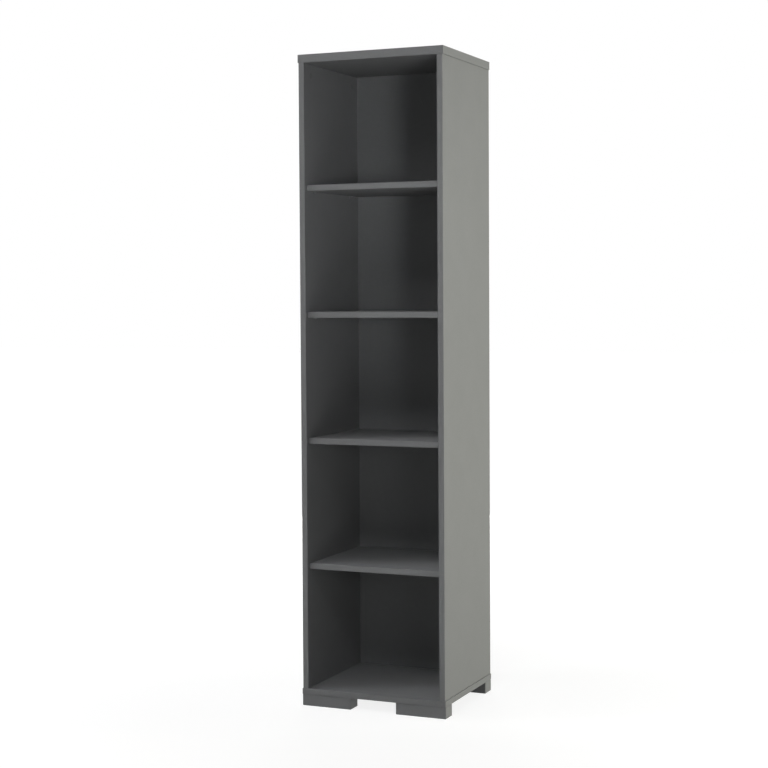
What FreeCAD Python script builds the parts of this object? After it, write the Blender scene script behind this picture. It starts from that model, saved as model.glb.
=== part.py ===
import FreeCAD, Part
import math
import os

# A tall open bookcase in lacquered fibreboard: a narrow case with loose shelves on four block feet.
# Sizes are in millimetres. The origin lies on the floor under the middle of the case, the front
# faces -Y, +X is to the right of someone who faces the front, and +Z is up.

# Overall sizes
overall_width = 475.0
overall_depth = 405.0
overall_height = 2000.0

# Boards: the top and bottom stand out past the sides by the two reveals
board_thickness = 18.0
top_thickness = 25.0
side_reveal = 2.5
front_reveal = 1.0
arris_radius = 1.0

# Block feet, a little back from the front and rear of the case, with rounder arrises than the boards
foot_width = 163.0
foot_depth = 52.0
foot_height = 36.0
foot_setback = 2.0
foot_arris_radius = 2.0

# Shelves, evenly spread over the height
shelf_count = 4
shelf_setback = 15.0
shelf_end_gap = 1.0
shelf_back_gap = 1.0

# Back panel, lying in a rabbet that runs round the rear of the case
back_thickness = 4.0
rabbet_depth = 8.0
rabbet_width = 10.0
back_edge_gap = 0.5

# Shelf supports: a shank in a blind hole, a collar against the side and a flat tongue under the shelf
support_shank_diameter = 5.0
support_shank_length = 9.0
support_shank_chamfer = 0.5
support_seat_drop = 3.0
support_collar_diameter = 9.0
support_collar_thickness = 1.5
support_tongue_width = 9.0
support_tongue_length = 11.0
support_tongue_thickness = 2.4
support_rib_thickness = 2.4
support_rib_height = 4.0
support_rib_length = 8.0
support_front_inset = 50.0
support_rear_inset = 60.0

# Cam joint between the sides and the top
cam_diameter = 15.0
cam_distance = 34.0
cam_inset = 50.0
cam_cavity_radius = 4.6
cam_eccentricity = 1.2
cam_turn = 190.0
cam_drive_width = 1.6
cam_drive_length = 7.0
cam_drive_depth = 2.5
cap_diameter = 17.0
cap_thickness = 1.0
cap_edge_chamfer = 0.4
bolt_head_diameter = 7.0
bolt_head_length = 3.0
bolt_neck_diameter = 4.0
bolt_shaft_diameter = 7.0
bolt_thread_diameter = 6.0
bolt_thread_length = 11.0

# Wood dowels at the top and the bottom of the sides
dowel_diameter = 8.0
dowel_side_depth = 23.0
dowel_chamfer = 1.0
top_dowel_inset = 82.0
bottom_dowel_inset = 40.0

# Assembly screws, up through the bottom panel into the ends of the sides
assembly_screw_inset = 80.0
assembly_screw_length = 50.0
assembly_head_diameter = 10.0
assembly_head_height = 1.5
assembly_cone_height = 3.0
assembly_shank_diameter = 7.0
assembly_thread_diameter = 5.0
assembly_drive_width = 4.0
assembly_drive_depth = 3.0

# Foot screws, in counterbored holes
foot_screw_spacing = 100.0
foot_screw_diameter = 4.5
foot_screw_head_diameter = 9.0
foot_screw_head_height = 3.0
foot_counterbore_diameter = 11.0
foot_counterbore_depth = 20.0

# Back screws, round the edge of the back panel
back_screw_pitch = 200.0
back_screw_diameter = 3.0
back_screw_length = 16.0
back_screw_head_diameter = 6.0
back_screw_head_height = 2.0

# Pan heads of the foot screws and back screws, as shares of the head's own size
pan_top_share = 0.65
pan_rim_share = 0.5
cross_length_share = 0.6
cross_width_share = 0.17
cross_depth_share = 0.5

# Clearances and drilling allowances
fit_clearance = 0.1
hole_end_gap = 1.0
drill_floor = 6.0
screw_tip = 2.0
cut_past = 1.0

# Planes and levels that the pieces share
front_y = -overall_depth / 2
rear_y = overall_depth / 2
side_front_y = front_y + front_reveal
ledge_y = rear_y - rabbet_depth
back_rear_y = ledge_y + back_thickness
shelf_front_y = side_front_y + shelf_setback
shelf_rear_y = ledge_y - shelf_back_gap
edge_x = overall_width / 2
outer_x = edge_x - side_reveal
inner_x = outer_x - board_thickness
mid_x = (inner_x + outer_x) / 2
shelf_end_x = inner_x - shelf_end_gap
floor_z = foot_height + board_thickness
ceiling_z = overall_height - top_thickness
side_height = ceiling_z - floor_z
bay_height = (side_height - shelf_count * board_thickness) / (shelf_count + 1)
cam_z = ceiling_z - cam_distance
face_drilling = board_thickness - drill_floor
shelf_levels = [
    floor_z + bay_height + number * (bay_height + board_thickness) for number in range(shelf_count)
]

# Places along the depth that a fitting and its holes share, front and rear
cam_places = (side_front_y + cam_inset, rear_y - cam_inset)
top_dowel_places = (side_front_y + top_dowel_inset, rear_y - top_dowel_inset)
bottom_dowel_places = (side_front_y + bottom_dowel_inset, rear_y - bottom_dowel_inset)
assembly_screw_places = (side_front_y + assembly_screw_inset, rear_y - assembly_screw_inset)
support_places = (shelf_front_y + support_front_inset, shelf_rear_y - support_rear_inset)


def point(x, y, z):
    return FreeCAD.Vector(x, y, z)


UP = point(0, 0, 1)
DOWN = point(0, 0, -1)
REARWARD = point(0, 1, 0)
FORWARD = point(0, -1, 0)
LEFT = -1
RIGHT = 1
HANDS = (LEFT, RIGHT)


def outward(hand):
    """From the inside of the case through the side panel on that hand."""
    return point(hand, 0, 0)


def board(low, high, radius=arris_radius):
    """A board between two corners, with every arris rounded to the radius."""
    box = Part.makeBox(high.x - low.x, high.y - low.y, high.z - low.z, low)
    return box.makeFillet(radius, box.Edges)


def placed(shape, base, direction):
    """A shape made along +Z from the origin, set at its base and turned to its direction."""
    shape.Placement = FreeCAD.Placement(base, FreeCAD.Rotation(UP, direction))
    return shape


def turned(profile, base, direction):
    """A turned solid. The profile lists (radius, distance along the axis) from one end to the other."""
    corners = [point(radius, 0, distance) for radius, distance in profile]
    section = Part.Face(Part.makePolygon(corners + corners[:1]))
    return placed(section.revolve(point(0, 0, 0), UP, 360), base, direction)


def drilling(diameter, depth, mouth, direction):
    """A clear hole for a fitting of that diameter, from its mouth into the board."""
    radius = diameter / 2 + fit_clearance
    return Part.makeCylinder(radius, depth + cut_past, mouth - direction * cut_past, direction)


def cross(length, width, depth, base, direction):
    """Two crossed bars: the shape of a cross recess, or of the key that fits it."""
    bar = Part.makeBox(length, width, depth, point(-length / 2, -width / 2, 0))
    other = Part.makeBox(width, length, depth, point(-width / 2, -length / 2, 0))
    return placed(bar.fuse(other).removeSplitter(), base, direction)


def pan_screw(diameter, length, head_diameter, head_height, seat, direction):
    """A pan-head screw with a cross recess, its head seated at a point and its shank driven from there."""
    shank = diameter / 2
    head = head_diameter / 2
    profile = [
        (0, -head_height),
        (head * pan_top_share, -head_height),
        (head, -head_height * pan_rim_share),
        (head, 0),
        (shank, 0),
        (shank, length - screw_tip),
        (0, length),
    ]
    recess_length = head_diameter * cross_length_share
    recess_width = head_diameter * cross_width_share
    recess_depth = head_height * cross_depth_share + cut_past
    recess_start = seat - direction * (head_height + cut_past)
    recess = cross(recess_length, recess_width, recess_depth, recess_start, direction)
    return turned(profile, seat, direction).cut(recess)


def on_both_hands(right_shapes):
    """The given fittings of the right side, and their mirror images on the left side."""
    left_shapes = [shape.mirror(point(0, 0, 0), outward(RIGHT)) for shape in right_shapes]
    return Part.makeCompound(left_shapes + right_shapes)


def evenly(length):
    """Places of the back screws along an edge, counted from its middle."""
    count = math.ceil(length / back_screw_pitch)
    return [length * ((number + 0.5) / count - 0.5) for number in range(count)]


def back_screw_spots():
    """Places (x, z) of the back screws, along the middle of the rabbet on all four edges."""
    spot_x = inner_x + rabbet_width / 2
    spot_low_z = floor_z - rabbet_width / 2
    spot_high_z = ceiling_z + rabbet_width / 2
    middle_z = (floor_z + ceiling_z) / 2
    upright = [(hand * spot_x, middle_z + z) for hand in HANDS for z in evenly(side_height)]
    level = [(x, z) for x in evenly(2 * inner_x) for z in (spot_low_z, spot_high_z)]
    return upright + level


def back_recess():
    """The rabbets that hold the back panel, as one block cut out of the top, the bottom and both sides."""
    half_width = inner_x + rabbet_width
    low_z = floor_z - rabbet_width
    height = side_height + 2 * rabbet_width
    low = point(-half_width, ledge_y, low_z)
    return Part.makeBox(2 * half_width, rabbet_depth + cut_past, height, low)


def back_screw_holes():
    depth = back_screw_length + hole_end_gap
    return [
        drilling(back_screw_diameter, depth, point(x, back_rear_y, z), FORWARD)
        for x, z in back_screw_spots()
    ]


def side_panel(hand):
    """One side: rabbeted for the back, drilled for the supports, and for the joints at both ends."""
    near_x, far_x = sorted((hand * inner_x, hand * outer_x))
    panel = board(point(near_x, side_front_y, floor_z), point(far_x, rear_y, ceiling_z))
    cuts = [back_recess()] + back_screw_holes()
    for y in support_places:
        for level in shelf_levels:
            mouth = point(hand * inner_x, y, level - support_seat_drop)
            depth = support_shank_length + hole_end_gap
            cuts.append(drilling(support_shank_diameter, depth, mouth, outward(hand)))
    for y in cam_places:
        mouth = point(hand * inner_x, y, cam_z)
        cuts.append(drilling(cam_diameter, cam_depth() + fit_clearance, mouth, outward(hand)))
        cuts.append(drilling(bolt_shaft_diameter, cam_distance, point(hand * mid_x, y, ceiling_z), DOWN))
    dowel_hole = dowel_side_depth + hole_end_gap
    for y in top_dowel_places:
        cuts.append(drilling(dowel_diameter, dowel_hole, point(hand * mid_x, y, ceiling_z), DOWN))
    for y in bottom_dowel_places:
        cuts.append(drilling(dowel_diameter, dowel_hole, point(hand * mid_x, y, floor_z), UP))
    pilot = assembly_screw_length - board_thickness + hole_end_gap
    for y in assembly_screw_places:
        cuts.append(drilling(assembly_thread_diameter, pilot, point(hand * mid_x, y, floor_z), UP))
    return panel.cut(cuts)


def top_panel():
    """The thicker top: it lies over the sides and is drilled from below for bolts and dowels."""
    panel = board(point(-edge_x, front_y, ceiling_z), point(edge_x, rear_y, overall_height))
    cuts = [back_recess()] + back_screw_holes()
    for hand in HANDS:
        for y in cam_places:
            mouth = point(hand * mid_x, y, ceiling_z)
            cuts.append(drilling(bolt_thread_diameter, bolt_thread_length + hole_end_gap, mouth, UP))
        for y in top_dowel_places:
            cuts.append(drilling(dowel_diameter, face_drilling, point(hand * mid_x, y, ceiling_z), UP))
    return panel.cut(cuts)


def bottom_panel():
    """The bottom: it carries the sides, takes the dowels from above and the screws from below."""
    panel = board(point(-edge_x, front_y, foot_height), point(edge_x, rear_y, floor_z))
    cuts = [back_recess()] + back_screw_holes()
    for hand in HANDS:
        for y in bottom_dowel_places:
            cuts.append(drilling(dowel_diameter, face_drilling, point(hand * mid_x, y, floor_z), DOWN))
        for y in assembly_screw_places:
            cuts.append(assembly_screw_hole(hand * mid_x, y))
    for x, y in foot_screw_spots():
        cuts.append(drilling(foot_screw_diameter, face_drilling, point(x, y, foot_height), UP))
    return panel.cut(cuts)


def back_panel():
    """The thin back, a little smaller than its recess."""
    half_width = inner_x + rabbet_width - back_edge_gap
    low_z = floor_z - rabbet_width + back_edge_gap
    height = side_height + 2 * (rabbet_width - back_edge_gap)
    panel = Part.makeBox(2 * half_width, back_thickness, height, point(-half_width, ledge_y, low_z))
    return panel.cut(back_screw_holes())


def shelf(level):
    """A loose shelf, with its underside at the given level."""
    low = point(-shelf_end_x, shelf_front_y, level)
    return board(low, point(shelf_end_x, shelf_rear_y, level + board_thickness))


def foot_spans():
    """The (x, y) span of each block foot, by name, flush with the ends of the bottom panel."""
    across = {"left": (-edge_x, foot_width - edge_x), "right": (edge_x - foot_width, edge_x)}
    foot_front_y = front_y + foot_setback
    foot_rear_y = rear_y - foot_setback
    along = {
        "front": (foot_front_y, foot_front_y + foot_depth),
        "rear": (foot_rear_y - foot_depth, foot_rear_y),
    }
    return {f"{end}_{hand}": (across[hand], along[end]) for end in along for hand in across}


def screws_of_foot(span_x, span_y):
    """Two screw places in a foot, on the middle line of its depth."""
    middle_x = sum(span_x) / 2
    middle_y = sum(span_y) / 2
    return [(middle_x + side * foot_screw_spacing / 2, middle_y) for side in HANDS]


def foot_screw_spots():
    return [spot for span in foot_spans().values() for spot in screws_of_foot(*span)]


def foot(span_x, span_y):
    """A block foot with two counterbored screw holes."""
    low = point(span_x[0], span_y[0], 0)
    block = board(low, point(span_x[1], span_y[1], foot_height), foot_arris_radius)
    cuts = []
    for x, y in screws_of_foot(span_x, span_y):
        bottom = point(x, y, 0)
        cuts.append(drilling(foot_screw_diameter, foot_height + cut_past, bottom, UP))
        cuts.append(drilling(foot_counterbore_diameter, foot_counterbore_depth, bottom, UP))
    return block.cut(cuts)


def foot_screws():
    """Pan-head screws, up from the counterbores through the feet into the bottom panel."""
    length = foot_height - foot_counterbore_depth + face_drilling - hole_end_gap
    head_size = (foot_screw_head_diameter, foot_screw_head_height)
    seats = [point(x, y, foot_counterbore_depth) for x, y in foot_screw_spots()]
    return Part.makeCompound([pan_screw(foot_screw_diameter, length, *head_size, seat, UP) for seat in seats])


def assembly_profile(grow):
    """Half outline of an assembly screw's head and shank, grown sideways by a clearance."""
    return [
        (assembly_head_diameter / 2 + grow, 0),
        (assembly_head_diameter / 2 + grow, assembly_head_height),
        (assembly_shank_diameter / 2 + grow, assembly_head_height + assembly_cone_height),
        (assembly_shank_diameter / 2 + grow, board_thickness),
    ]


def assembly_screw_hole(x, y):
    """The countersunk hole of an assembly screw, right through the bottom panel."""
    outline = assembly_profile(fit_clearance)
    start = [(0, -cut_past), (outline[0][0], -cut_past)]
    end = [(outline[-1][0], board_thickness + cut_past), (0, board_thickness + cut_past)]
    return turned(start + outline + end, point(x, y, foot_height), UP)


def assembly_screws():
    """Countersunk screws with a hexagon socket, flush with the underside of the bottom panel."""
    thread = assembly_thread_diameter / 2
    shaft = [
        (thread, board_thickness),
        (thread, assembly_screw_length - screw_tip),
        (0, assembly_screw_length),
    ]
    profile = [(0, 0)] + assembly_profile(0) + shaft
    socket_radius = assembly_drive_width / math.sqrt(3)
    corners = [
        point(socket_radius * math.cos(turn), socket_radius * math.sin(turn), -cut_past)
        for turn in (math.radians(60 * side) for side in range(6))
    ]
    socket_face = Part.Face(Part.makePolygon(corners + corners[:1]))
    screw = turned(profile, point(0, 0, 0), UP)
    screw = screw.cut(socket_face.extrude(UP * (assembly_drive_depth + cut_past)))
    places = [point(mid_x, y, foot_height) for y in assembly_screw_places]
    return on_both_hands([screw.translated(place) for place in places])


def back_screws():
    """Pan-head screws through the back panel into the rabbets."""
    size = (back_screw_diameter, back_screw_length, back_screw_head_diameter, back_screw_head_height)
    seats = [point(x, back_rear_y, z) for x, z in back_screw_spots()]
    return Part.makeCompound([pan_screw(*size, seat, FORWARD) for seat in seats])


def dowels(seam_z, into_side, places):
    """Chamfered dowels across a seam, half in the end of a side and half in the panel beyond it."""
    radius = dowel_diameter / 2
    panel_depth = face_drilling - hole_end_gap
    length = panel_depth + dowel_side_depth
    profile = [
        (0, 0),
        (radius - dowel_chamfer, 0),
        (radius, dowel_chamfer),
        (radius, length - dowel_chamfer),
        (radius - dowel_chamfer, length),
        (0, length),
    ]
    starts = [point(mid_x, y, seam_z) - into_side * panel_depth for y in places]
    return on_both_hands([turned(profile, start, into_side) for start in starts])


def cam_depth():
    """The cam reaches just past the bolt head, which lies in the middle of the side's thickness."""
    return board_thickness / 2 + bolt_head_diameter / 2 + fit_clearance


def cam_disc(y):
    """The eccentric lock of the cam joint, turned home, in the inner face of the right side.

    The bolt's neck stands in a slot through the rim and its head lies in an eccentric cavity. The slot
    runs round the rim to the wide mouth where the head goes in before the cam is turned.
    """
    axis = outward(RIGHT)
    centre = point(inner_x, y, cam_z)
    bolt_centre = centre + axis * (board_thickness / 2)
    neck = bolt_neck_diameter / 2 + fit_clearance
    head = bolt_head_diameter / 2 + fit_clearance
    disc = Part.makeCylinder(cam_diameter / 2, cam_depth(), centre, axis)
    cavity_base = bolt_centre - axis * head + DOWN * cam_eccentricity
    cavity = Part.makeCylinder(cam_cavity_radius, 2 * head + cut_past, cavity_base, axis)
    slot_low = bolt_centre - axis * neck + FORWARD * neck
    slot = Part.makeBox(2 * neck, 2 * neck, cam_diameter, slot_low)
    slot_near = bolt_centre - axis * neck
    slot_far = bolt_centre + axis * neck
    inner = UP * neck
    outer = UP * cam_diameter
    outline = [slot_near + inner, slot_far + inner, slot_far + outer, slot_near + outer]
    sweep = Part.Face(Part.makePolygon(outline + outline[:1])).revolve(bolt_centre, axis, cam_turn)
    mouth_direction = FreeCAD.Rotation(axis, cam_turn).multVec(UP)
    mouth = Part.makeCylinder(head + fit_clearance, cam_diameter, bolt_centre, mouth_direction)
    drive_base = centre - axis * cut_past
    drive = cross(cam_drive_length, cam_drive_width, cam_drive_depth + cut_past, drive_base, axis)
    return disc.cut([cavity, slot, sweep, mouth, drive])


def cam_bolt(y):
    """The bolt of the cam joint: thread in the top panel, shaft in the side, head in the cam's cavity."""
    head = bolt_head_diameter / 2
    neck = bolt_neck_diameter / 2
    shaft = bolt_shaft_diameter / 2
    thread = bolt_thread_diameter / 2
    clear_radius = cam_cavity_radius - fit_clearance
    seat = math.sqrt(clear_radius**2 - head**2) - cam_eccentricity
    neck_start = math.sqrt(clear_radius**2 - neck**2) - cam_eccentricity
    neck_end = cam_diameter / 2 + hole_end_gap
    profile = [
        (0, seat - bolt_head_length),
        (head, seat - bolt_head_length),
        (head, seat),
        (neck, neck_start),
        (neck, neck_end),
        (shaft, neck_end),
        (shaft, cam_distance),
        (thread, cam_distance),
        (thread, cam_distance + bolt_thread_length),
        (0, cam_distance + bolt_thread_length),
    ]
    return turned(profile, point(mid_x, y, cam_z), UP)


def cam_cap(y):
    """A thin cap over a cam disc, keyed into its cross recess."""
    inward = outward(LEFT)
    radius = cap_diameter / 2
    profile = [
        (0, 0),
        (radius, 0),
        (radius, cap_thickness - cap_edge_chamfer),
        (radius - cap_edge_chamfer, cap_thickness),
        (0, cap_thickness),
    ]
    face = point(inner_x, y, cam_z)
    length = cam_drive_length - 2 * fit_clearance
    width = cam_drive_width - 2 * fit_clearance
    key = cross(length, width, cam_drive_depth - fit_clearance, face, outward(RIGHT))
    return turned(profile, face, inward).fuse(key).removeSplitter()


def shelf_support(y, level):
    """A support in the right side. The flat top of its tongue is the seat that the shelf lies on."""
    shank_radius = support_shank_diameter / 2
    collar_radius = support_collar_diameter / 2
    axis_point = point(inner_x, y, level - support_seat_drop)
    shank_profile = [
        (0, 0),
        (shank_radius, 0),
        (shank_radius, support_shank_length - support_shank_chamfer),
        (shank_radius - support_shank_chamfer, support_shank_length),
        (0, support_shank_length),
    ]
    shank = turned(shank_profile, axis_point, outward(RIGHT))
    collar = Part.makeCylinder(collar_radius, support_collar_thickness, axis_point, outward(LEFT))
    above_seat = Part.makeBox(
        2 * support_collar_diameter,
        2 * support_collar_diameter,
        support_collar_diameter,
        point(inner_x - support_collar_diameter, y - support_collar_diameter, level),
    )
    root_x = inner_x - support_collar_thickness
    round_radius = support_tongue_width / 2
    round_x = root_x - support_tongue_length + round_radius
    low_z = level - support_tongue_thickness
    front_root = point(root_x, y - round_radius, low_z)
    front_round = point(round_x, y - round_radius, low_z)
    rear_root = point(root_x, y + round_radius, low_z)
    rear_round = point(round_x, y + round_radius, low_z)
    tip = point(round_x - round_radius, y, low_z)
    outline = [
        Part.LineSegment(front_root, front_round).toShape(),
        Part.Arc(front_round, tip, rear_round).toShape(),
        Part.LineSegment(rear_round, rear_root).toShape(),
        Part.LineSegment(rear_root, front_root).toShape(),
    ]
    tongue = Part.Face(Part.Wire(outline)).extrude(UP * support_tongue_thickness)
    rib_y = y - support_rib_thickness / 2
    rib_corners = [
        point(root_x, rib_y, low_z),
        point(root_x, rib_y, low_z - support_rib_height),
        point(root_x - support_rib_length, rib_y, low_z),
    ]
    rib_face = Part.Face(Part.makePolygon(rib_corners + rib_corners[:1]))
    rib = rib_face.extrude(REARWARD * support_rib_thickness)
    return collar.cut(above_seat).fuse([shank, tongue, rib]).removeSplitter()


def all_parts():
    """Every piece of the bookcase by its node name, in the order in which the case is put together."""
    parts = {"bottom_panel": bottom_panel()}
    for name, span in foot_spans().items():
        parts[f"{name}_foot"] = foot(*span)
    parts["foot_screws"] = foot_screws()
    parts["bottom_dowels"] = dowels(floor_z, UP, bottom_dowel_places)
    parts["left_side_panel"] = side_panel(LEFT)
    parts["right_side_panel"] = side_panel(RIGHT)
    parts["assembly_screws"] = assembly_screws()
    parts["cam_discs"] = on_both_hands([cam_disc(y) for y in cam_places])
    parts["cam_bolts"] = on_both_hands([cam_bolt(y) for y in cam_places])
    parts["top_dowels"] = dowels(ceiling_z, DOWN, top_dowel_places)
    parts["top_panel"] = top_panel()
    parts["cam_caps"] = on_both_hands([cam_cap(y) for y in cam_places])
    parts["back_panel"] = back_panel()
    parts["back_screws"] = back_screws()
    for number, level in enumerate(shelf_levels, start=1):
        supports = [shelf_support(y, level) for y in support_places]
        parts[f"shelf_{number}_supports"] = on_both_hands(supports)
        parts[f"shelf_{number}"] = shelf(level)
    return parts


os.makedirs("parts", exist_ok=True)
for node, shape in all_parts().items():
    shape.exportStep(f"parts/{node}.step")
    print(f"{node}: {len(shape.Solids)} solids, {shape.Volume / 1000:.1f} cm3")
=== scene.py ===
import math

import bmesh
import bpy
from mathutils import Matrix, Vector


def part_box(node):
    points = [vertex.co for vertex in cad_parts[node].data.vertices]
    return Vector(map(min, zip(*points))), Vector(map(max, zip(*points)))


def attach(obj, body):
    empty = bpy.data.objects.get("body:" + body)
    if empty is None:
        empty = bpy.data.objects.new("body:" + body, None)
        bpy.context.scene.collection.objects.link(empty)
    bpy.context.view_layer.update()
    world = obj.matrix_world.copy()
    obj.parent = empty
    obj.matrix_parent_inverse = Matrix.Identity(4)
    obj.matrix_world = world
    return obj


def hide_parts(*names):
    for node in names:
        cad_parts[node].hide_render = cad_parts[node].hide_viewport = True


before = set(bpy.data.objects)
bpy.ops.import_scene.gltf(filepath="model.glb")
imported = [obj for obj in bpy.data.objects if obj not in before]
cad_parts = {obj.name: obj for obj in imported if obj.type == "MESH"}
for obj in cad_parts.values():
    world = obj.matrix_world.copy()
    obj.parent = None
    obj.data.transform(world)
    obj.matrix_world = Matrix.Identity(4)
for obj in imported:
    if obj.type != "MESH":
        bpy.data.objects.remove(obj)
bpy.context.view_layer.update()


# Bottom panel: an 18 mm fibreboard, cut to size, its edges taken off by a small round, and
# sprayed all over with a satin lacquer. The feet are screwed to it and the sides stand on it.

def linear(colour):
    """A colour as linear RGBA, from its sRGB hex value such as "#7A7A77"."""
    values = [int(colour[i:i + 2], 16) / 255 for i in (1, 3, 5)]
    return [v / 12.92 if v <= 0.04045 else ((v + 0.055) / 1.055) ** 2.4 for v in values] + [1.0]


def add_node(tree, kind, links, **settings):
    """A node in the tree: settings are its own properties, and links gives each of its
    inputs either a fixed value or the output that feeds it."""
    made = tree.nodes.new(kind)
    for name, value in settings.items():
        setattr(made, name, value)
    for name, value in links.items():
        if isinstance(value, bpy.types.NodeSocket):
            tree.links.new(value, made.inputs[name])
        else:
            made.inputs[name].default_value = value
    return made


def new_finish(name):
    """An empty material with its node tree and the coordinates of the piece, in metres."""
    finish = bpy.data.materials.new(name)
    finish.use_nodes = True
    finish.node_tree.nodes.clear()
    coordinates = add_node(finish.node_tree, "ShaderNodeTexCoord", {})
    return finish, finish.node_tree, coordinates.outputs["Object"]


def give(finish, *names):
    """Gives the finish to these nodes of the model."""
    for name in names:
        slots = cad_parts[name].data.materials
        slots.clear()
        slots.append(finish)


MM = 0.001

# Sprayed lacquer on fibreboard: a satin skin with a fine orange peel that breaks up the
# sheen, a mist of pigment grains, and slow drifts in tone where the coats overlapped.
# Peel is about 1 mm across on a real board and grains are finer: both are drawn coarser to show.
DRIFT_WIDTH = 260 * MM
RUBBED_WIDTH = 70 * MM
PEEL_WIDTH = 2.4 * MM
PEEL_DEPTH = 0.4 * MM
GRAIN_WIDTH = 1.8 * MM
lacquer, tree, place = new_finish("satin_lacquered_fibreboard")
drift = add_node(tree, "ShaderNodeTexNoise", {"Vector": place, "Scale": 1 / DRIFT_WIDTH, "Detail": 3.0})
grains = add_node(tree, "ShaderNodeTexNoise", {"Vector": place, "Scale": 1 / GRAIN_WIDTH, "Detail": 2.0})
peel = add_node(tree, "ShaderNodeTexNoise", {"Vector": place, "Scale": 1 / PEEL_WIDTH, "Detail": 1.0})
rubbed = add_node(tree, "ShaderNodeTexNoise", {"Vector": place, "Scale": 1 / RUBBED_WIDTH, "Detail": 4.0})
tone = add_node(tree, "ShaderNodeMapRange",
                {"Value": drift.outputs["Fac"], "From Min": 0.3, "From Max": 0.7})
coat = add_node(tree, "ShaderNodeMix",
                {"Factor": tone.outputs["Result"], "A": linear("#777879"), "B": linear("#797A7B")},
                data_type="RGBA")
grain_tone = add_node(tree, "ShaderNodeMapRange",
                      {"Value": grains.outputs["Fac"], "From Min": 0.25, "From Max": 0.75,
                       "To Min": 0.94, "To Max": 1.06})
speckled = add_node(tree, "ShaderNodeVectorMath",
                    {0: coat.outputs[2], "Scale": grain_tone.outputs["Result"]}, operation="SCALE")
gloss = add_node(tree, "ShaderNodeMapRange",
                 {"Value": rubbed.outputs["Fac"], "From Min": 0.3, "From Max": 0.7,
                  "To Min": 0.54, "To Max": 0.58})
bumps = add_node(tree, "ShaderNodeBump",
                 {"Height": peel.outputs["Fac"], "Strength": 0.12, "Distance": PEEL_DEPTH})
skin = add_node(tree, "ShaderNodeBsdfPrincipled",
                {"Base Color": speckled.outputs["Vector"], "Roughness": gloss.outputs["Result"],
                 "IOR": 1.5, "Normal": bumps.outputs["Normal"]})
add_node(tree, "ShaderNodeOutputMaterial", {"Surface": skin.outputs["BSDF"]})
give(lacquer, "bottom_panel")


# Feet: four low block feet of the same lacquered board, one under each corner and screwed
# on from below. They stand level with the ends of the bottom panel and a little back from
# its front and rear edges, so that a thin shadow parts them.
give(lacquer, "front_left_foot", "front_right_foot", "rear_left_foot", "rear_right_foot")


# Foot screws: pan-headed steel screws, two to a foot, sunk in wide holes so that the heads
# stay clear of the floor. Their threads are rolled and they are zinc plated.

# Zinc plating: a bright grey metal with a faint blue cast and a slightly cloudy passivation.
CLOUD_WIDTH = 3 * MM
zinc_plate, tree, place = new_finish("zinc_plated_steel")
cloud = add_node(tree, "ShaderNodeTexNoise", {"Vector": place, "Scale": 1 / CLOUD_WIDTH, "Detail": 3.0})
plating = add_node(tree, "ShaderNodeMix",
                   {"Factor": cloud.outputs["Fac"], "A": linear("#B4B8BC"), "B": linear("#CFCFC6")},
                   data_type="RGBA")
haze = add_node(tree, "ShaderNodeMapRange",
                {"Value": cloud.outputs["Fac"], "To Min": 0.28, "To Max": 0.48})
skin = add_node(tree, "ShaderNodeBsdfPrincipled",
                {"Base Color": plating.outputs[2], "Metallic": 1.0, "Roughness": haze.outputs["Result"]})
add_node(tree, "ShaderNodeOutputMaterial", {"Surface": skin.outputs["BSDF"]})

UP = Vector((0.0, 0.0, 1.0))
UPRIGHT = Matrix.Identity(4)
TOUCHING = 0.001 * MM
SOFT_EDGE = math.radians(30)


def cut_off(mesh, point, direction):
    """Takes off what lies beyond a plane, and closes the mesh there with the faces it gives."""
    bmesh.ops.bisect_plane(mesh, geom=mesh.verts[:] + mesh.edges[:] + mesh.faces[:],
                           plane_co=point, plane_no=direction, clear_outer=True)
    rims = [edge for edge in mesh.edges if edge.is_boundary
            and all(abs((vert.co - point).dot(direction)) < TOUCHING for vert in edge.verts)]
    return bmesh.ops.holes_fill(mesh, edges=rims)["faces"]


def cut_back(node, point, direction):
    """The solids of a node, cut off square where a plane crosses them and closed there, and
    the middle of each cut. Only edges that turn by less than SOFT_EDGE are shaded round."""
    mesh = bmesh.new()
    mesh.from_mesh(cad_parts[node].data)
    bmesh.ops.remove_doubles(mesh, verts=mesh.verts, dist=TOUCHING)
    for edge in mesh.edges:
        edge.smooth = edge.calc_face_angle(0.0) < SOFT_EDGE
    ends = cut_off(mesh, point, direction)
    return mesh, [end.calc_center_bounds() for end in ends]


def rolled_thread(length, radius, pitch, depth, point):
    """A screw thread that stands on the origin and runs up +Z. One pitch of its outline is
    wound up the axis, cut off square at both ends and drawn to a point at the upper one."""
    STEPS_A_TURN = 16
    BLUNT_TIP = 0.05
    turns = math.ceil(length / pitch) + 2
    root = radius - depth
    # Along one pitch: a flat at the root, the rising flank, the crest and the falling flank.
    profile = ((root, 0.0), (root, 0.45), (radius, 0.7), (radius, 0.8), (root, 1.0))
    mesh = bmesh.new()
    outline = [mesh.verts.new((across, 0.0, share * pitch)) for across, share in profile]
    flanks = [mesh.edges.new(pair) for pair in zip(outline, outline[1:])]
    bmesh.ops.spin(mesh, geom=outline + flanks, cent=(0, 0, 0), axis=(0, 0, 1),
                   dvec=(0, 0, pitch / STEPS_A_TURN), angle=math.tau * turns,
                   steps=turns * STEPS_A_TURN)
    bmesh.ops.remove_doubles(mesh, verts=mesh.verts, dist=TOUCHING)
    bmesh.ops.translate(mesh, vec=(0, 0, -pitch), verts=mesh.verts)
    for vert in mesh.verts:
        if vert.co.z > length - point:
            vert.co.xy *= max(BLUNT_TIP, (length - vert.co.z) / point)
    cut_off(mesh, Vector((0.0, 0.0, 0.0)), -UP)
    cut_off(mesh, UP * length, UP)
    bmesh.ops.recalc_face_normals(mesh, faces=mesh.faces)
    return mesh


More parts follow.
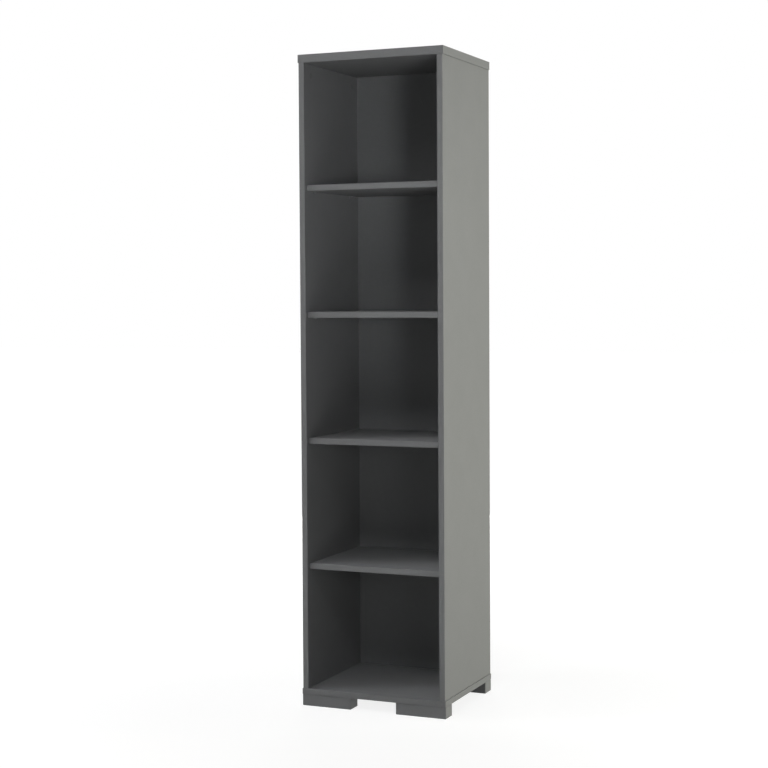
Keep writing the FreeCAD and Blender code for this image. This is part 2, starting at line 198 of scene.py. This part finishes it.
def add_copies(mesh, part, places, turn=UPRIGHT):
    """Adds a copy of the part to the mesh at each place, turned from +Z."""
    shape = bpy.data.meshes.new("part")
    part.to_mesh(shape)
    part.free()
    for middle in places:
        copy = shape.copy()
        copy.transform(Matrix.Translation(middle) @ turn)
        mesh.from_mesh(copy)
        bpy.data.meshes.remove(copy)
    bpy.data.meshes.remove(shape)


def new_piece(name, mesh, finish, node):
    """A finished piece of the case, which stands for a node of the model."""
    shape = bpy.data.meshes.new(name)
    mesh.to_mesh(shape)
    mesh.free()
    shape.materials.append(finish)
    piece = bpy.data.objects.new(name, shape)
    bpy.context.scene.collection.objects.link(piece)
    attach(piece, "case")
    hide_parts(node)


FOOT_SCREW_HEAD = 3.0 * MM
FOOT_SCREW_NECK = 1.0 * MM
low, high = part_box("foot_screws")
neck_end = low[2] + FOOT_SCREW_HEAD + FOOT_SCREW_NECK
heads, places = cut_back("foot_screws", UP * neck_end, UP)
thread = rolled_thread(length=high[2] - neck_end, radius=2.25 * MM, pitch=2.2 * MM,
                       depth=0.65 * MM, point=4.0 * MM)
add_copies(heads, thread, places)
new_piece("threaded_foot_screws", heads, zinc_plate, "foot_screws")


# Dowels: fluted beech pegs that keep the sides in place on the bottom panel, and the top
# on the sides. They are glued in, and the flutes let the glue and the air out.

# Beech: pale pinkish brown, with short darker flecks along the peg.
FLECK_WIDTH = 0.9 * MM
FLECK_SLIMNESS = 0.12
FLECK_DEPTH = 0.1 * MM
beech, tree, place = new_finish("beech")
grain_run = add_node(tree, "ShaderNodeMapping", {"Vector": place, "Scale": (1.0, 1.0, FLECK_SLIMNESS)})
fleck = add_node(tree, "ShaderNodeTexNoise",
                 {"Vector": grain_run.outputs["Vector"], "Scale": 1 / FLECK_WIDTH, "Detail": 3.0})
wood = add_node(tree, "ShaderNodeMix",
                {"Factor": fleck.outputs["Fac"], "A": linear("#A97C50"), "B": linear("#D8B48A")},
                data_type="RGBA")
fibres = add_node(tree, "ShaderNodeBump",
                  {"Height": fleck.outputs["Fac"], "Strength": 0.2, "Distance": FLECK_DEPTH})
skin = add_node(tree, "ShaderNodeBsdfPrincipled",
                {"Base Color": wood.outputs[2], "Roughness": 0.65, "Normal": fibres.outputs["Normal"]})
add_node(tree, "ShaderNodeOutputMaterial", {"Surface": skin.outputs["BSDF"]})


def fluted_peg(length, radius, flute_count, flute_depth, chamfer):
    """A peg that stands on the origin: a fluted ring, raised in three steps so that both ends
    are chamfered, and closed."""
    mesh = bmesh.new()
    ring = bmesh.ops.create_circle(mesh, segments=2 * flute_count, radius=radius)["verts"]
    for vert in ring[::2]:
        vert.co.xy *= 1 - flute_depth / radius
    tapered = (radius - chamfer) / radius
    bmesh.ops.scale(mesh, vec=(tapered, tapered, 1.0), verts=ring)
    rim = mesh.edges[:]
    for rise, growth in ((chamfer, 1 / tapered), (length - 2 * chamfer, 1.0), (chamfer, tapered)):
        raised = bmesh.ops.extrude_edge_only(mesh, edges=rim)["geom"]
        rim = [item for item in raised if isinstance(item, bmesh.types.BMEdge)]
        verts = [item for item in raised if isinstance(item, bmesh.types.BMVert)]
        bmesh.ops.translate(mesh, vec=(0, 0, rise), verts=verts)
        bmesh.ops.scale(mesh, vec=(growth, growth, 1.0), verts=verts)
    bmesh.ops.holes_fill(mesh, edges=[edge for edge in mesh.edges if edge.is_boundary])
    bmesh.ops.recalc_face_normals(mesh, faces=mesh.faces)
    return mesh


# Plain pegs of the model, cut at half height, give the places of the fluted ones.
for node in ("bottom_dowels", "top_dowels"):
    low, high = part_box(node)
    halves, middles = cut_back(node, UP * (low[2] + high[2]) / 2, UP)
    halves.free()
    lower_ends = [Vector((middle.x, middle.y, low[2])) for middle in middles]
    pegs = bmesh.new()
    peg = fluted_peg(length=high[2] - low[2], radius=4.0 * MM, flute_count=20,
                     flute_depth=0.25 * MM, chamfer=1.0 * MM)
    add_copies(pegs, peg, lower_ends)
    new_piece("fluted_" + node, pegs, beech, node)


# Side panels: two upright lacquered boards, drilled on their inner faces for the shelf
# supports and the cams and rebated at the rear for the back.
give(lacquer, "left_side_panel", "right_side_panel")


# Assembly screws: long countersunk screws up through the bottom into the ends of the sides.
# Their coarse threads start where they leave the bottom panel, and they are zinc plated.
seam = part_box("bottom_panel")[1][2]
heads, places = cut_back("assembly_screws", UP * seam, UP)
thread = rolled_thread(length=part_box("assembly_screws")[1][2] - seam, radius=2.5 * MM,
                       pitch=3.0 * MM, depth=0.7 * MM, point=3.0 * MM)
add_copies(heads, thread, places)
new_piece("threaded_assembly_screws", heads, zinc_plate, "assembly_screws")


# Cam joints: zinc-plated bolts in the underside of the top, and cast discs in the sides that
# are turned on the heads of the bolts and pull the top down on the sides.

# Zinc casting: a dull, slightly grainy grey metal as it comes from the mould.
CAST_GRAIN_WIDTH = 0.8 * MM
CAST_GRAIN_DEPTH = 0.1 * MM
casting, tree, place = new_finish("zinc_casting")
cast_grain = add_node(tree, "ShaderNodeTexNoise",
                      {"Vector": place, "Scale": 1 / CAST_GRAIN_WIDTH, "Detail": 2.0})
pitted = add_node(tree, "ShaderNodeBump",
                  {"Height": cast_grain.outputs["Fac"], "Strength": 0.25, "Distance": CAST_GRAIN_DEPTH})
dull = add_node(tree, "ShaderNodeMix",
                {"Factor": cast_grain.outputs["Fac"], "A": linear("#8F9192"), "B": linear("#A9ABAA")},
                data_type="RGBA")
skin = add_node(tree, "ShaderNodeBsdfPrincipled",
                {"Base Color": dull.outputs[2], "Metallic": 1.0, "Roughness": 0.5,
                 "Normal": pitted.outputs["Normal"]})
add_node(tree, "ShaderNodeOutputMaterial", {"Surface": skin.outputs["BSDF"]})
give(casting, "cam_discs")

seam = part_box("top_panel")[0][2]
shafts, places = cut_back("cam_bolts", UP * seam, UP)
thread = rolled_thread(length=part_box("cam_bolts")[1][2] - seam, radius=3.0 * MM,
                       pitch=2.5 * MM, depth=0.8 * MM, point=0.8 * MM)
add_copies(shafts, thread, places)
new_piece("threaded_cam_bolts", shafts, zinc_plate, "cam_bolts")


# Top panel: a 25 mm lacquered board that lies over the sides and stands out a little past
# them at the front and at both ends.
give(lacquer, "top_panel")


# Cam caps: thin moulded plastic covers over the cams, in the grey of the boards. A key behind
# each one is pressed into the cross recess of its cam.

# Moulded plastic: an even grey with a sparked grain from the mould, drawn coarser to show.
SPARK_WIDTH = 0.7 * MM
SPARK_DEPTH = 0.1 * MM
cap_plastic, tree, place = new_finish("moulded_plastic_cap")
spark = add_node(tree, "ShaderNodeTexNoise", {"Vector": place, "Scale": 1 / SPARK_WIDTH, "Detail": 1.0})
sparked = add_node(tree, "ShaderNodeBump",
                   {"Height": spark.outputs["Fac"], "Strength": 0.15, "Distance": SPARK_DEPTH})
cap_tone = add_node(tree, "ShaderNodeMix",
                    {"Factor": spark.outputs["Fac"], "A": linear("#6F7071"), "B": linear("#757677")},
                    data_type="RGBA")
skin = add_node(tree, "ShaderNodeBsdfPrincipled",
                {"Base Color": cap_tone.outputs[2], "Roughness": 0.55, "IOR": 1.48,
                 "Normal": sparked.outputs["Normal"]})
add_node(tree, "ShaderNodeOutputMaterial", {"Surface": skin.outputs["BSDF"]})
give(cap_plastic, "cam_caps")


# Back panel: a 4 mm hardboard, lacquered grey on the face that shows in the bays, thinly
# coated behind, where the wire screen of the press has left its print.

# Hardboard: its front is as smooth as the boards but flatter in sheen, and clumps of fibre
# mottle both faces. The screen's print behind is about 1.3 mm a mesh and is drawn at 2.6 mm
# so that it shows.
SCREEN_PITCH = 2.6 * MM
SCREEN_DEPTH = 0.15 * MM
CLUMP_WIDTH = 14 * MM
back_low, back_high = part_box("back_panel")
back_middle = (back_low[1] + back_high[1]) / 2
hardboard, tree, place = new_finish("coated_hardboard")
split = add_node(tree, "ShaderNodeSeparateXYZ", {"Vector": place})
behind = add_node(tree, "ShaderNodeMath",
                  {0: split.outputs["Y"], 1: back_middle}, operation="GREATER_THAN")
warp = add_node(tree, "ShaderNodeMath",
                {0: split.outputs["X"], 1: math.tau / SCREEN_PITCH}, operation="MULTIPLY")
weft = add_node(tree, "ShaderNodeMath",
                {0: split.outputs["Z"], 1: math.tau / SCREEN_PITCH}, operation="MULTIPLY")
warp_wave = add_node(tree, "ShaderNodeMath", {0: warp.outputs["Value"]}, operation="SINE")
weft_wave = add_node(tree, "ShaderNodeMath", {0: weft.outputs["Value"]}, operation="SINE")
mesh_print = add_node(tree, "ShaderNodeMath",
                      {0: warp_wave.outputs["Value"], 1: weft_wave.outputs["Value"]},
                      operation="MULTIPLY")
screen = add_node(tree, "ShaderNodeMath",
                  {0: mesh_print.outputs["Value"], 1: behind.outputs["Value"]}, operation="MULTIPLY")
clumps = add_node(tree, "ShaderNodeTexNoise", {"Vector": place, "Scale": 1 / CLUMP_WIDTH, "Detail": 6.0})
face_tone = add_node(tree, "ShaderNodeMix",
                     {"Factor": clumps.outputs["Fac"], "A": linear("#737475"), "B": linear("#787A7B")},
                     data_type="RGBA")
rear_tone = add_node(tree, "ShaderNodeMix",
                     {"Factor": clumps.outputs["Fac"], "A": linear("#5C5B58"), "B": linear("#75736E")},
                     data_type="RGBA")
board_tone = add_node(tree, "ShaderNodeMix",
                      {"Factor": behind.outputs["Value"], "A": face_tone.outputs[2],
                       "B": rear_tone.outputs[2]}, data_type="RGBA")
pressed = add_node(tree, "ShaderNodeBump",
                   {"Height": screen.outputs["Value"], "Strength": 0.4, "Distance": SCREEN_DEPTH})
skin = add_node(tree, "ShaderNodeBsdfPrincipled",
                {"Base Color": board_tone.outputs[2], "Roughness": 0.62, "IOR": 1.5,
                 "Normal": pressed.outputs["Normal"]})
add_node(tree, "ShaderNodeOutputMaterial", {"Surface": skin.outputs["BSDF"]})
give(hardboard, "back_panel")


# Back screws: small zinc-plated screws with pan heads round the edge of the back, driven
# forward into the rebates of the sides, top and bottom.
FORWARD = Vector((0.0, -1.0, 0.0))
POINTING_FORWARD = Matrix.Rotation(math.radians(90), 4, "X")
BACK_SCREW_NECK = 0.6 * MM
neck_end = back_high[1] - BACK_SCREW_NECK
heads, places = cut_back("back_screws", -FORWARD * neck_end, FORWARD)
thread = rolled_thread(length=neck_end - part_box("back_screws")[0][1], radius=1.5 * MM,
                       pitch=1.35 * MM, depth=0.45 * MM, point=3.0 * MM)
add_copies(heads, thread, places, turn=POINTING_FORWARD)
new_piece("threaded_back_screws", heads, zinc_plate, "back_screws")


# Shelf supports: pressed steel spoons, four to a shelf, pushed into blind holes in the
# sides. They are powder coated in the grey of the boards.

# Powder coat: a matt grey skin with the soft, close ripple of baked powder.
RIPPLE_WIDTH = 0.9 * MM
RIPPLE_DEPTH = 0.1 * MM
powder_coat, tree, place = new_finish("grey_powder_coated_steel")
ripple = add_node(tree, "ShaderNodeTexNoise", {"Vector": place, "Scale": 1 / RIPPLE_WIDTH, "Detail": 2.0})
baked = add_node(tree, "ShaderNodeMix",
                 {"Factor": ripple.outputs["Fac"], "A": linear("#747576"), "B": linear("#7A7B7C")},
                 data_type="RGBA")
rippled = add_node(tree, "ShaderNodeBump",
                   {"Height": ripple.outputs["Fac"], "Strength": 0.2, "Distance": RIPPLE_DEPTH})
skin = add_node(tree, "ShaderNodeBsdfPrincipled",
                {"Base Color": baked.outputs[2], "Roughness": 0.6, "IOR": 1.5,
                 "Normal": rippled.outputs["Normal"]})
add_node(tree, "ShaderNodeOutputMaterial", {"Surface": skin.outputs["BSDF"]})
give(powder_coat, "shelf_1_supports", "shelf_2_supports", "shelf_3_supports", "shelf_4_supports")


# Shelves: four loose 18 mm lacquered boards that lie on the supports, a little back from
# the front of the sides.
give(lacquer, "shelf_1", "shelf_2", "shelf_3", "shelf_4")


# Floor: a wide white studio floor that runs out to the white surroundings. It is white to
# the eye and in reflections, and keeps the shadow of the case.

def is_seen(tree):
    """One for rays that come from the camera, a reflection or through glass."""
    path = add_node(tree, "ShaderNodeLightPath", {}).outputs
    mirrored = add_node(tree, "ShaderNodeMath",
                        {0: path["Is Camera Ray"], 1: path["Is Glossy Ray"]}, operation="MAXIMUM")
    seen = add_node(tree, "ShaderNodeMath",
                    {0: mirrored.outputs["Value"], 1: path["Is Transmission Ray"]}, operation="MAXIMUM")
    return seen.outputs["Value"]


FLOOR_REACH = 30.0
NEAR_CASE = 0.5
FAR_FROM_CASE = 2.2
GLOW_NEAR_CASE = 0.84
bpy.ops.mesh.primitive_plane_add(size=2 * FLOOR_REACH)
floor = bpy.context.object
floor.name = "floor"
paper, tree, place = new_finish("studio_paper")
away = add_node(tree, "ShaderNodeVectorMath", {0: place}, operation="LENGTH")
whiter = add_node(tree, "ShaderNodeMapRange",
                  {"Value": away.outputs["Value"], "From Min": NEAR_CASE, "From Max": FAR_FROM_CASE,
                   "To Min": GLOW_NEAR_CASE, "To Max": 1.0}, interpolation_type="SMOOTHSTEP")
glow = add_node(tree, "ShaderNodeEmission",
                {"Color": linear("#FFFFFF"), "Strength": whiter.outputs["Result"]})
shade = add_node(tree, "ShaderNodeBsdfDiffuse", {"Color": linear("#8A8A8A")})
lit_white = add_node(tree, "ShaderNodeAddShader",
                     {0: glow.outputs["Emission"], 1: shade.outputs["BSDF"]})
bounce = add_node(tree, "ShaderNodeBsdfDiffuse", {"Color": linear("#A0A0A0")})
paper_mix = add_node(tree, "ShaderNodeMixShader",
                     {0: is_seen(tree), 1: bounce.outputs["BSDF"], 2: lit_white.outputs["Shader"]})
add_node(tree, "ShaderNodeOutputMaterial", {"Surface": paper_mix.outputs["Shader"]})
floor.data.materials.append(paper)


# Surroundings: plain white to the eye and in reflections, like the walls of a white studio,
# and only a low even light on the case.
WORLD_STRENGTH = 0.04
world = bpy.data.worlds.new("studio")
bpy.context.scene.world = world
world.use_nodes = True
tree = world.node_tree
tree.nodes.clear()
ambient = add_node(tree, "ShaderNodeBackground",
                   {"Color": linear("#FFFFFF"), "Strength": WORLD_STRENGTH})
white = add_node(tree, "ShaderNodeBackground", {"Color": linear("#FFFFFF"), "Strength": 1.0})
sky = add_node(tree, "ShaderNodeMixShader",
               {0: is_seen(tree), 1: ambient.outputs["Background"], 2: white.outputs["Background"]})
add_node(tree, "ShaderNodeOutputWorld", {"Surface": sky.outputs["Shader"]})


# Studio lights: a large, slightly warm soft box on the right, a small high one on the far
# left that grazes in over the shelves, narrow fills into the bays, weak lamps in front and
# overhead, a lit card on the floor, and one behind the case, lower than its top.

def softbox(name, place, aim, width, height, power, spread=180, colour="#FFFFFF"):
    """A rectangular lamp at a place, turned to face the aim. A grid narrows its spread."""
    lamp = bpy.data.lights.new(name, "AREA")
    lamp.shape = "RECTANGLE"
    lamp.size = width
    lamp.size_y = height
    lamp.energy = power
    lamp.color = linear(colour)[:3]
    lamp.spread = math.radians(spread)
    made = bpy.data.objects.new(name, lamp)
    bpy.context.scene.collection.objects.link(made)
    made.location = place
    made.visible_camera = False
    made.rotation_euler = (Vector(aim) - Vector(place)).to_track_quat("-Z", "Y").to_euler()


WARM_WHITE = "#FFFFED"
softbox("right_softbox", place=(4.0, 1.5, 1.0), aim=(0.23, 0.0, 1.0),
        width=2.0, height=2.0, power=118.0, colour=WARM_WHITE)
softbox("left_softbox", place=(-4.08, -2.1, 4.5), aim=(0.0, 0.0, 1.0),
        width=0.3, height=0.3, power=80.0)
softbox("lower_bay_fill", place=(-2.6, -2.6, 2.6), aim=(0.0, -0.1, 0.35),
        width=0.6, height=0.6, power=0.37, spread=30)
softbox("lower_floor_fill", place=(0.5, -2.9, 3.0), aim=(0.0, -0.05, 0.05),
        width=2.4, height=0.3, power=0.72, spread=15)
softbox("middle_floor_fill", place=(0.5, -3.2, 3.7), aim=(0.0, -0.05, 0.85),
        width=2.4, height=0.3, power=0.42, spread=18)
softbox("upper_bay_fill", place=(2.4, -3.2, 1.3), aim=(-0.1, 0.0, 1.7),
        width=0.6, height=0.6, power=0.67, spread=25)
softbox("ceiling_softbox", place=(0.0, -2.2, 4.2), aim=(0.0, 0.0, 1.0),
        width=2.4, height=2.4, power=22.0)
softbox("front_fill", place=(2.57, -3.28, 1.2), aim=(0.0, 0.0, 1.0),
        width=0.8, height=0.8, power=11.0)
softbox("floor_card", place=(1.8, -1.8, 0.02), aim=(1.8, -1.8, 1.0),
        width=1.8, height=1.8, power=18.5)
softbox("rear_softbox", place=(-1.8, 4.0, 0.95), aim=(0.0, 0.0, 0.95),
        width=2.0, height=1.8, power=120.0)


# Camera: at chest height, to the right of the case and a little above its middle. It has a
# long lens, and looks slightly down with a small shift.
CAMERA_PLACE = (2.0306, -4.8292, 1.2692)
CAMERA_YAW = 23.243
CAMERA_PITCH = -2.579
CAMERA_ROLL = -0.326
CAMERA_LENS = 78.661
CAMERA_SHIFT = -0.01797
camera_data = bpy.data.cameras.new("camera")
camera_data.sensor_width = 36.0
camera_data.lens = CAMERA_LENS
camera_data.shift_y = CAMERA_SHIFT
camera_data.clip_end = 200.0
camera = bpy.data.objects.new("camera", camera_data)
bpy.context.scene.collection.objects.link(camera)
camera.matrix_world = (Matrix.Translation(CAMERA_PLACE)
                       @ Matrix.Rotation(math.radians(CAMERA_YAW), 4, "Z")
                       @ Matrix.Rotation(math.radians(90 + CAMERA_PITCH), 4, "X")
                       @ Matrix.Rotation(math.radians(CAMERA_ROLL), 4, "Z"))
bpy.context.scene.camera = camera
bpy.context.scene.view_settings.view_transform = "Standard"
